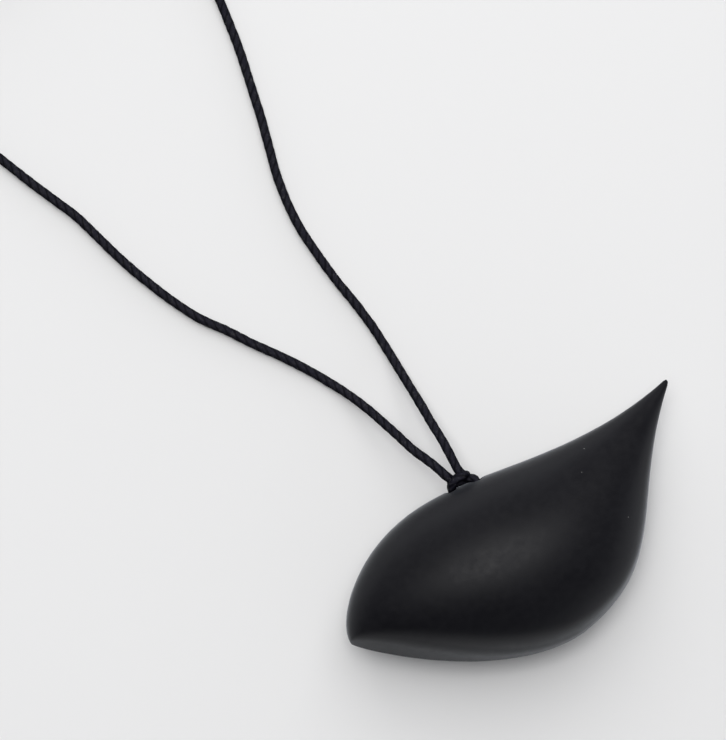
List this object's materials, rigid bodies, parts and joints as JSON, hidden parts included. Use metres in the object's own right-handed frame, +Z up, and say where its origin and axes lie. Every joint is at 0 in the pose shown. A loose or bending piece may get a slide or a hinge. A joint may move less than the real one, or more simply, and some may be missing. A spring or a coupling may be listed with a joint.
{
  "type": "pendant ocarina",
  "caption": "Leaf-shaped hollow pendant ocarina with a plain front, finger holes and window in its rear face, hitched on a thin neck cord.",
  "frame": {"origin": "centre of the body's footprint, on the surface that its rear face lies on; the cord isn't counted", "axes": "+X from the beak to the tail, +Y towards the back where the cord is hitched, +Z up out of the plain front face"},
  "size_m": [0.065, 0.1687, 0.0187],
  "materials": {
    "shell": "burnished satin black, unglazed",
    "block": "matt black, unglazed",
    "cord": "black waxed twisted cotton"
  },
  "bodies": {
    "root": {"front_shell": "shell", "rear_shell": "shell", "windway_block": "block", "cord_hitch": "cord", "cord_strand_left": "cord", "cord_strand_right": "cord", "cord_coil_left": "cord", "cord_coil_right": "cord", "cord_end_knot": "cord"}
  },
  "joints": []
}
